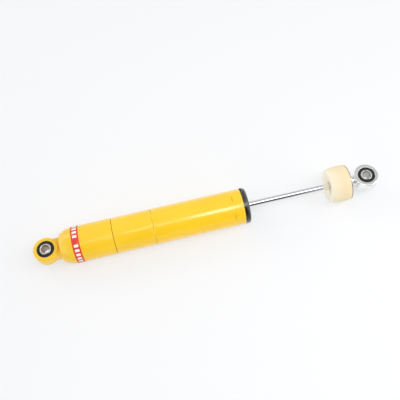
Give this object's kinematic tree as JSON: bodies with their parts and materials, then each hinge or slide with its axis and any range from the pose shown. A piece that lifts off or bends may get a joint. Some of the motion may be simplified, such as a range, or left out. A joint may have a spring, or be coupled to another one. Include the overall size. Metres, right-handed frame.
{
  "type": "racing shock absorber",
  "caption": "Telescopic damper with a rubber-bushed eye at each end, a sliding chrome rod and a foam bump stop.",
  "frame": {"origin": "centre of the lower eye's bolt bore", "axes": "+X along the rod towards the upper eye, +Z along the axis of both eyes"},
  "size_m": [0.584, 0.0606, 0.0606],
  "materials": {
    "yellow_paint": "gloss paint",
    "zinc_plate": "bright zinc plating",
    "sleeve_steel": "oiled steel",
    "chrome_rod": "hard chrome, polished",
    "bush_rubber": "moulded rubber",
    "seal_rubber": "moulded nitrile",
    "black_nut": "black phosphate, semi-gloss",
    "red_band": "printed film",
    "cream_foam": "microcellular polyurethane",
    "inner_steel": "machined steel",
    "sintered_iron": "sintered, machined faces",
    "spring_steel": "tempered strip",
    "bush_bronze": "bronze bearing",
    "bearing_plastic": "filled PTFE and nylon"
  },
  "bodies": {
    "barrel": {"lower_eye": "yellow_paint", "lower_bush": "bush_rubber", "base_cup": "yellow_paint", "label_band": "red_band", "reservoir_tube": "yellow_paint", "working_cylinder": "inner_steel", "foot_valve_body": "sintered_iron", "foot_valve_bolt": "inner_steel", "foot_check_spring": "spring_steel", "foot_valve_shims": "spring_steel", "foot_valve_nut": "inner_steel", "rod_guide": "sintered_iron", "guide_bush": "bush_bronze", "guide_o_ring": "seal_rubber", "rod_seal": "seal_rubber", "seal_washer": "inner_steel", "gland_nut": "black_nut", "wiper_ring": "seal_rubber"},
    "lower_sleeve": {"lower_sleeve": "sleeve_steel"},
    "foot_check": {"foot_check_plate": "spring_steel"},
    "piston_band": {"piston_band": "bearing_plastic"},
    "rod": {"piston_rod": "chrome_rod", "piston": "sintered_iron", "piston_check_spring": "spring_steel", "piston_spacer": "inner_steel", "piston_stop_plate": "inner_steel", "piston_shims": "spring_steel", "piston_washer": "inner_steel", "piston_nut": "inner_steel", "rebound_stop": "bearing_plastic", "rebound_clip": "spring_steel", "bump_stop": "cream_foam", "bump_washer": "zinc_plate", "upper_eye": "zinc_plate", "upper_bush": "bush_rubber"},
    "piston_check": {"piston_check_plate": "spring_steel"},
    "upper_sleeve": {"upper_sleeve": "sleeve_steel"}
  },
  "joints": [
    {"name": "rod_slide", "type": "slide", "parent": "barrel", "child": "piston_band", "axis": [1, 0, 0], "range_m": [-0.1391, 0]},
    {"name": "rod_spin", "type": "hinge", "parent": "piston_band", "child": "rod", "pos_m": [0.4, 0, 0], "axis": [1, 0, 0], "continuous": true},
    {"name": "lower_sleeve_twist", "type": "hinge", "parent": "barrel", "child": "lower_sleeve", "pos_m": [0, 0, 0], "axis": [0, 0, 1], "range_deg": [-12, 12], "stiffness_Nm_per_rad": 60},
    {"name": "upper_sleeve_twist", "type": "hinge", "parent": "rod", "child": "upper_sleeve", "pos_m": [0.543, 0, 0], "axis": [0, 0, 1], "range_deg": [-12, 12], "stiffness_Nm_per_rad": 60},
    {"name": "foot_check_lift", "type": "slide", "parent": "barrel", "child": "foot_check", "axis": [1, 0, 0], "range_m": [0, 0.0015], "stiffness_N_per_m": 400, "springref_m": -0.002, "deforming": ["foot_check_spring"]},
    {"name": "piston_check_lift", "type": "slide", "parent": "rod", "child": "piston_check", "axis": [1, 0, 0], "range_m": [0, 0.0015], "stiffness_N_per_m": 400, "springref_m": -0.002, "deforming": ["piston_check_spring"]}
  ]
}
